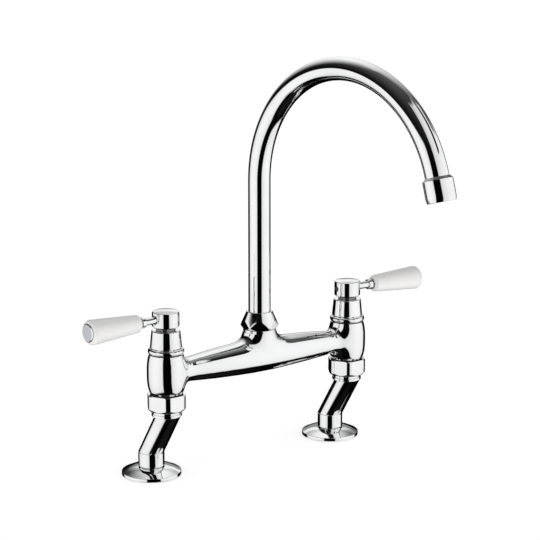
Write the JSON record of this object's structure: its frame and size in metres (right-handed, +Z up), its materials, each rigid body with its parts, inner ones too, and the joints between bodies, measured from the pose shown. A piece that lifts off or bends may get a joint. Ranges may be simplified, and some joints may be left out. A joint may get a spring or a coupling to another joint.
{
  "type": "bridge kitchen faucet",
  "caption": "Deck-mounted bridge kitchen faucet: mirror-chrome bridge between lever valves on cranked legs, swivelling swan-neck spout, pale lever sleeves.",
  "frame": {"origin": "on the worktop, midway between the two valve axes", "axes": "+Z up, X along the bridge with the left valve on -X, -Y towards the user and the sink"},
  "size_m": [0.327, 0.2428, 0.3352],
  "materials": {
    "chrome": "mirror chrome plate on brass",
    "satin_chrome": "satin chrome plate on brass",
    "brass": "machined, unplated",
    "steel": "bright stainless steel",
    "sleeve_ceramic": "pale glazed ceramic, satin",
    "disc_ceramic": "lapped alumina ceramic",
    "black_rubber": "moulded, matt",
    "red_fibre": "pressed fibre",
    "white_nylon": "moulded nylon"
  },
  "bodies": {
    "bridge": {"bridge_body": "chrome", "spout_gland_nut": "chrome", "left_union_nut": "chrome", "left_union_washer": "red_fibre", "left_cartridge_body": "brass", "left_cartridge_seal": "black_rubber", "left_cartridge_o_ring": "black_rubber", "left_fixed_disc": "disc_ceramic", "left_bonnet": "chrome", "right_union_nut": "chrome", "right_union_washer": "red_fibre", "right_cartridge_body": "brass", "right_cartridge_seal": "black_rubber", "right_cartridge_o_ring": "black_rubber", "right_fixed_disc": "disc_ceramic", "right_bonnet": "chrome"},
    "spout": {"spout_tube": "chrome", "spout_base_bush": "brass", "spout_split_ring": "white_nylon", "spout_o_ring_lower": "black_rubber", "spout_o_ring_upper": "black_rubber", "aerator_housing": "chrome", "aerator_seal": "black_rubber", "aerator_insert": "white_nylon", "aerator_screen": "steel"},
    "left_lever": {"left_lever_hub": "chrome", "left_hub_grub_screw": "steel", "left_lever_rod": "chrome", "left_sleeve_washer": "black_rubber", "left_lever_sleeve": "sleeve_ceramic", "left_lever_end_cap": "satin_chrome", "left_valve_spindle": "brass", "left_spindle_o_ring": "black_rubber", "left_moving_disc": "disc_ceramic"},
    "left_leg": {"left_cranked_leg": "chrome", "left_union_clip": "steel", "left_base_flange": "chrome", "left_flange_seal": "black_rubber"},
    "right_lever": {"right_lever_hub": "chrome", "right_hub_grub_screw": "steel", "right_lever_rod": "chrome", "right_sleeve_washer": "black_rubber", "right_lever_sleeve": "sleeve_ceramic", "right_lever_end_cap": "satin_chrome", "right_valve_spindle": "brass", "right_spindle_o_ring": "black_rubber", "right_moving_disc": "disc_ceramic"},
    "right_leg": {"right_cranked_leg": "chrome", "right_union_clip": "steel", "right_base_flange": "chrome", "right_flange_seal": "black_rubber"}
  },
  "joints": [
    {"name": "spout_swivel", "type": "hinge", "parent": "bridge", "child": "spout", "pos_m": [0, 0, 0.107], "axis": [0, 0, 1], "continuous": true},
    {"name": "left_lever_turn", "type": "hinge", "parent": "bridge", "child": "left_lever", "pos_m": [-0.09, 0, 0.13], "axis": [0, 0, 1], "range_deg": [0, 90]},
    {"name": "right_lever_turn", "type": "hinge", "parent": "bridge", "child": "right_lever", "pos_m": [0.09, 0, 0.13], "axis": [0, 0, 1], "range_deg": [-90, 0]},
    {"name": "left_leg_swivel", "type": "hinge", "parent": "bridge", "child": "left_leg", "pos_m": [-0.09, 0, 0.06], "axis": [0, 0, 1], "range_deg": [-105, 75]},
    {"name": "right_leg_swivel", "type": "hinge", "parent": "bridge", "child": "right_leg", "pos_m": [0.09, 0, 0.06], "axis": [0, 0, 1], "range_deg": [-105, 75]}
  ]
}
